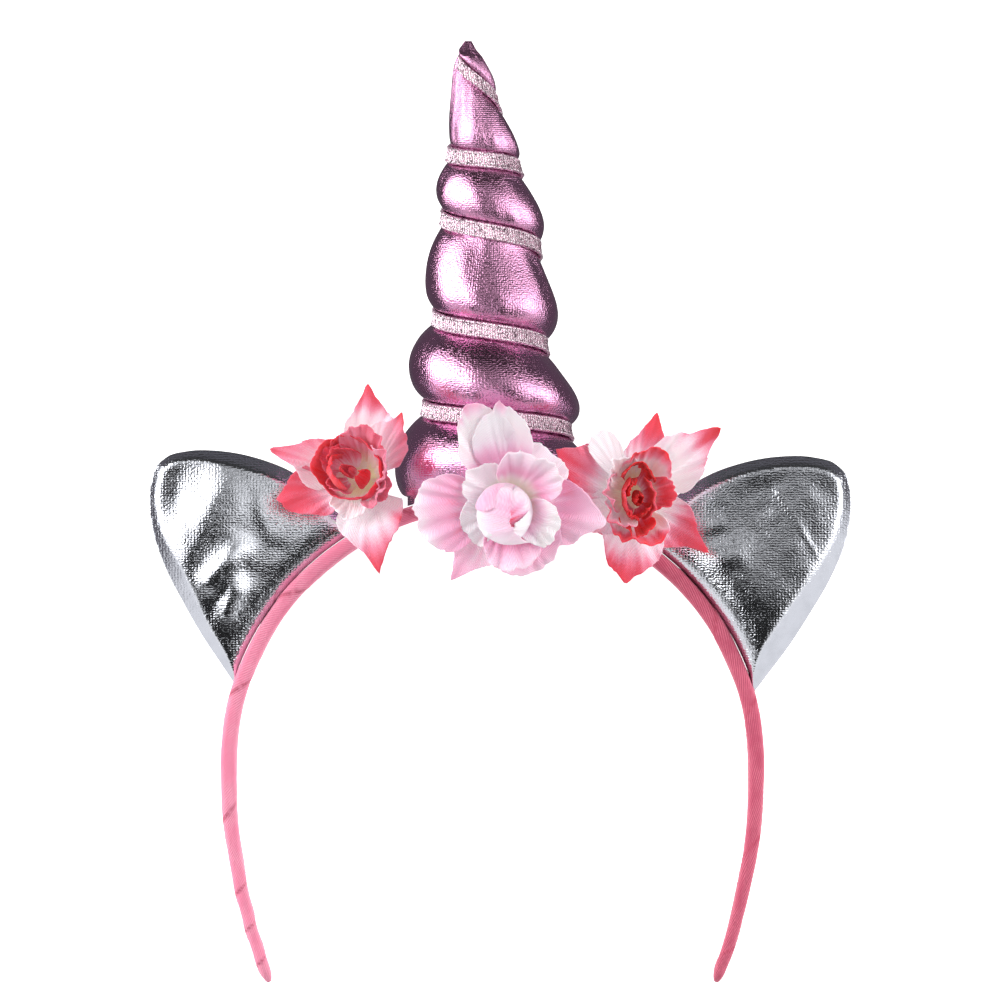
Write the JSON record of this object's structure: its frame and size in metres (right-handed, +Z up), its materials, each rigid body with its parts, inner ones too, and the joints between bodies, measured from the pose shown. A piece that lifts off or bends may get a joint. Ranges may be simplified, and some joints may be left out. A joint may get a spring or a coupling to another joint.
{
  "type": "unicorn horn headband",
  "caption": "Costume headband wound with pink ribbon, with a stuffed spiral unicorn horn, padded silver ears and cloth roses, lying on its back.",
  "frame": {"origin": "middle of the footprint on the surface that the headband lies on, at the height of its lowest points", "axes": "+Y along the horn towards its tip, +X to the right as seen from the front, +Z up, the way the flowers face"},
  "size_m": [0.162, 0.2154, 0.0532],
  "materials": {
    "wound_ribbon": "matte",
    "pink_foil_cloth": "gloss",
    "metallic_braid": "satin",
    "silver_foil_cloth": "gloss",
    "coral_petals": "matte",
    "pink_petals": "matte",
    "stem_plastic": "matte"
  },
  "bodies": {
    "root": {"band": "wound_ribbon", "horn": "pink_foil_cloth", "horn_braid": "metallic_braid", "ear_left": "silver_foil_cloth", "ear_right": "silver_foil_cloth", "rose_left_outer_petals": "coral_petals", "rose_left_cup_petals": "coral_petals", "rose_left_bud_petals": "coral_petals", "rose_left_heart": "coral_petals", "rose_left_stem": "stem_plastic", "rose_middle_outer_petals": "pink_petals", "rose_middle_cup_petals": "pink_petals", "rose_middle_bud_petals": "pink_petals", "rose_middle_heart": "pink_petals", "rose_middle_stem": "stem_plastic", "rose_right_outer_petals": "coral_petals", "rose_right_cup_petals": "coral_petals", "rose_right_bud_petals": "coral_petals", "rose_right_heart": "coral_petals", "rose_right_stem": "stem_plastic"}
  },
  "joints": []
}
